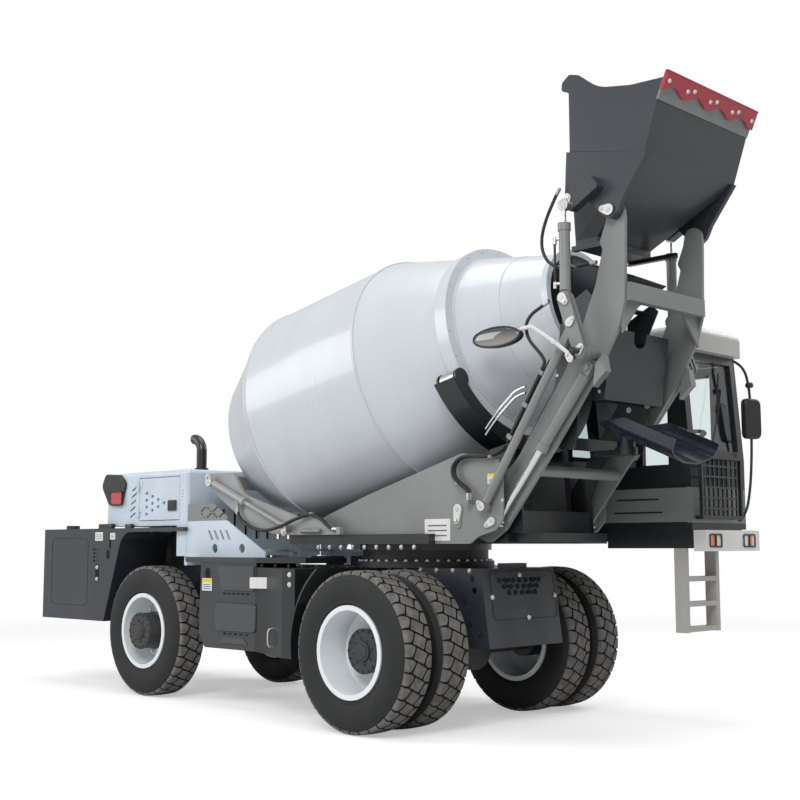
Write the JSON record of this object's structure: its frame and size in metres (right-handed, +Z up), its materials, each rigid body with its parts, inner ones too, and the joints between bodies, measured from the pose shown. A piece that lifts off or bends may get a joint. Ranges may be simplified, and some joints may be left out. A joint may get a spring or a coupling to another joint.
{
  "type": "self-loading concrete mixer",
  "caption": "Four-wheel self-loading concrete mixer with slewing drum and cab, twin front tyres, steered rear wheels, lift arms, tilting hopper and discharge chute.",
  "frame": {"origin": "on the ground, under the middle of the machine's box", "axes": "+X forward (hopper end), +Y to the driver's left (cab side), +Z up"},
  "size_m": [6.7987, 2.721, 4.3096],
  "materials": {
    "dark_paint": "satin dark slate paint",
    "grey_paint": "satin mid grey paint",
    "slate_paint": "satin slate paint",
    "cream_paint": "gloss pale blue-grey paint",
    "white_paint": "gloss white paint",
    "drum_paint": "gloss pale grey paint",
    "black_paint": "satin black paint",
    "red_paint": "gloss red paint",
    "cast_metal": "painted casting",
    "steel": "turned steel",
    "chrome": "polished piston rods",
    "rubber": "black rubber",
    "glass": "tinted safety glass",
    "seat": "black seat cover",
    "lens": "lamp housing"
  },
  "bodies": {
    "chassis": {"chassis_frame": "dark_paint", "slew_ring": "cast_metal", "driveline": "cast_metal", "engine_block": "cast_metal", "front_axle": "cast_metal", "rear_axle": "cast_metal", "engine_hood": "cream_paint", "tail_lamps": "lens", "hood_fairings": "cream_paint", "exhaust_pipe": "black_paint", "rear_tanks": "dark_paint", "side_boxes": "dark_paint"},
    "hood_door_left": {"hood_door_left": "cream_paint"},
    "hood_door_right": {"hood_door_right": "cream_paint"},
    "front_wheels_left": {"front_tyres_left": "rubber", "front_rims_left": "white_paint"},
    "front_wheels_right": {"front_tyres_right": "rubber", "front_rims_right": "white_paint"},
    "rear_wheel_left": {"rear_tyre_left": "rubber", "rear_rim_left": "white_paint"},
    "rear_wheel_right": {"rear_tyre_right": "rubber", "rear_rim_right": "white_paint"},
    "knuckle_left": {"knuckle_left": "cast_metal"},
    "knuckle_right": {"knuckle_right": "cast_metal"},
    "steering_rod": {"steering_rod": "chrome"},
    "turntable": {"turntable_deck": "black_paint", "side_frames": "grey_paint", "tail_support": "grey_paint", "deck_hoses": "rubber", "drum_drive": "cast_metal", "drum_saddle": "black_paint", "mouth_frame": "black_paint", "feed_hopper": "slate_paint", "discharge_hood": "slate_paint", "cab_floor": "grey_paint", "cab_shell": "black_paint", "cab_roof": "white_paint", "cab_glass": "glass", "cab_seat": "seat", "cab_guard": "black_paint", "bumper": "white_paint", "ladder": "grey_paint"},
    "cab_door": {"cab_door": "black_paint"},
    "drum": {"drum_shell": "drum_paint"},
    "drum_roller_left": {"drum_roller_left": "steel"},
    "drum_roller_right": {"drum_roller_right": "steel"},
    "chute": {"discharge_chute": "slate_paint"},
    "arms": {"loader_arms": "grey_paint", "convex_mirror": "black_paint"},
    "cranks": {"bell_cranks": "grey_paint"},
    "tie_rods": {"tie_rods": "grey_paint", "tie_rod_hoses": "rubber"},
    "lift_barrels": {"lift_barrels": "grey_paint"},
    "lift_rods": {"lift_rods": "chrome"},
    "tilt_barrels": {"tilt_barrels": "grey_paint", "tilt_hoses": "rubber"},
    "tilt_rods": {"tilt_rods": "chrome"},
    "hopper": {"hopper": "slate_paint", "cutting_edge": "red_paint"},
    "gate": {"hopper_gate": "slate_paint"}
  },
  "joints": [
    {"name": "slew", "type": "hinge", "parent": "chassis", "child": "turntable", "pos_m": [0.8105, -0.1565, 1.215], "axis": [0, 0, -1], "range_deg": [-10, 90]},
    {"name": "front_wheels_left_spin", "type": "hinge", "parent": "chassis", "child": "front_wheels_left", "pos_m": [1.2105, 0.7005, 0.542], "axis": [0, 1, 0], "continuous": true},
    {"name": "front_wheels_right_spin", "type": "hinge", "parent": "chassis", "child": "front_wheels_right", "pos_m": [1.2105, -1.0135, 0.542], "axis": [0, 1, 0], "continuous": true},
    {"name": "steer_right", "type": "hinge", "parent": "chassis", "child": "knuckle_right", "pos_m": [-1.6805, -0.7465, 0.542], "axis": [0, 0, 1], "range_deg": [-28, 28]},
    {"name": "steer_left", "type": "hinge", "parent": "chassis", "child": "knuckle_left", "pos_m": [-1.6805, 0.4335, 0.542], "axis": [0, 0, 1], "range_deg": [-28.5, 28.5]},
    {"name": "steer_slide", "type": "slide", "parent": "chassis", "child": "steering_rod", "axis": [0, -1, 0], "range_m": [-0.11, 0.11]},
    {"name": "rear_wheel_left_spin", "type": "hinge", "parent": "knuckle_left", "child": "rear_wheel_left", "pos_m": [-1.6805, 0.5555, 0.542], "axis": [0, 1, 0], "continuous": true},
    {"name": "rear_wheel_right_spin", "type": "hinge", "parent": "knuckle_right", "child": "rear_wheel_right", "pos_m": [-1.6805, -0.8685, 0.542], "axis": [0, 1, 0], "continuous": true},
    {"name": "hood_door_left_hinge", "type": "hinge", "parent": "chassis", "child": "hood_door_left", "pos_m": [-1.9125, 0.6055, 1.54], "axis": [0, 0, 1], "range_deg": [0, 80]},
    {"name": "hood_door_right_hinge", "type": "hinge", "parent": "chassis", "child": "hood_door_right", "pos_m": [-1.9125, -0.9185, 1.54], "axis": [0, 0, -1], "range_deg": [0, 80]},
    {"name": "cab_door_hinge", "type": "hinge", "parent": "turntable", "child": "cab_door", "pos_m": [2.4835, 1.3555, 1.62], "axis": [0, 0, -1], "range_deg": [0, 80]},
    {"name": "drum_spin", "type": "hinge", "parent": "turntable", "child": "drum", "pos_m": [1.64995, -0.1565, 2.70241], "axis": [0.9768, 0, 0.2141], "continuous": true},
    {"name": "drum_roller_left_spin", "type": "hinge", "parent": "turntable", "child": "drum_roller_left", "pos_m": [1.72509, 0.53239, 2.35954], "axis": [0.9768, 0, 0.2141], "continuous": true},
    {"name": "drum_roller_right_spin", "type": "hinge", "parent": "turntable", "child": "drum_roller_right", "pos_m": [1.72509, -0.84539, 2.35954], "axis": [0.9768, 0, 0.2141], "continuous": true},
    {"name": "chute_swing", "type": "hinge", "parent": "turntable", "child": "chute", "pos_m": [2.6505, -0.1565, 1.89], "axis": [0, 0, 1], "range_deg": [-45, 45]},
    {"name": "arm_lift", "type": "hinge", "parent": "turntable", "child": "arms", "pos_m": [1.6705, -0.1565, 1.46], "axis": [0, -1, 0], "range_deg": [-82, 0]},
    {"name": "crank_turn", "type": "hinge", "parent": "arms", "child": "cranks", "pos_m": [2.7605, -0.1565, 2.455], "axis": [0, -1, 0], "range_deg": [-8, 8]},
    {"name": "tie_rod_turn", "type": "hinge", "parent": "turntable", "child": "tie_rods", "pos_m": [1.9355, -0.1565, 1.505], "axis": [0, -1, 0], "range_deg": [-98, 1]},
    {"name": "lift_barrel_turn", "type": "hinge", "parent": "arms", "child": "lift_barrels", "pos_m": [2.7405, -0.1565, 2.366], "axis": [0, -1, 0], "range_deg": [-20, 1]},
    {"name": "lift_rod_slide", "type": "slide", "parent": "lift_barrels", "child": "lift_rods", "axis": [-0.628, 0, -0.7782], "range_m": [-0.09, 0.005]},
    {"name": "hopper_tilt", "type": "hinge", "parent": "arms", "child": "hopper", "pos_m": [2.9305, -0.1565, 3.35], "axis": [0, 1, 0], "range_deg": [-8, 55]},
    {"name": "tilt_barrel_turn", "type": "hinge", "parent": "cranks", "child": "tilt_barrels", "pos_m": [2.6405, -0.1565, 2.81], "axis": [0, 1, 0], "range_deg": [-4, 14]},
    {"name": "tilt_rod_slide", "type": "slide", "parent": "tilt_barrels", "child": "tilt_rods", "axis": [0, 0, 1], "range_m": [-0.05, 0.26]},
    {"name": "gate_slide", "type": "slide", "parent": "hopper", "child": "gate", "axis": [1, 0, 0], "range_m": [0, 0.18]}
  ],
  "couplings": [
    {"joint": "steer_left", "follows": "steer_right", "ratio": 1},
    {"joint": "steer_slide", "follows": "steer_right", "m_per_rad": 0.19213},
    {"joint": "crank_turn", "follows": "arm_lift", "ratio": -0.0407},
    {"joint": "tie_rod_turn", "follows": "arm_lift", "ratio": 1.1777},
    {"joint": "lift_barrel_turn", "follows": "arm_lift", "ratio": 0.2238},
    {"joint": "lift_rod_slide", "follows": "arm_lift", "m_per_rad": 0.0582},
    {"joint": "tilt_barrel_turn", "follows": "hopper_tilt", "ratio": 0.2064},
    {"joint": "tilt_rod_slide", "follows": "hopper_tilt", "m_per_rad": 0.25283}
  ]
}
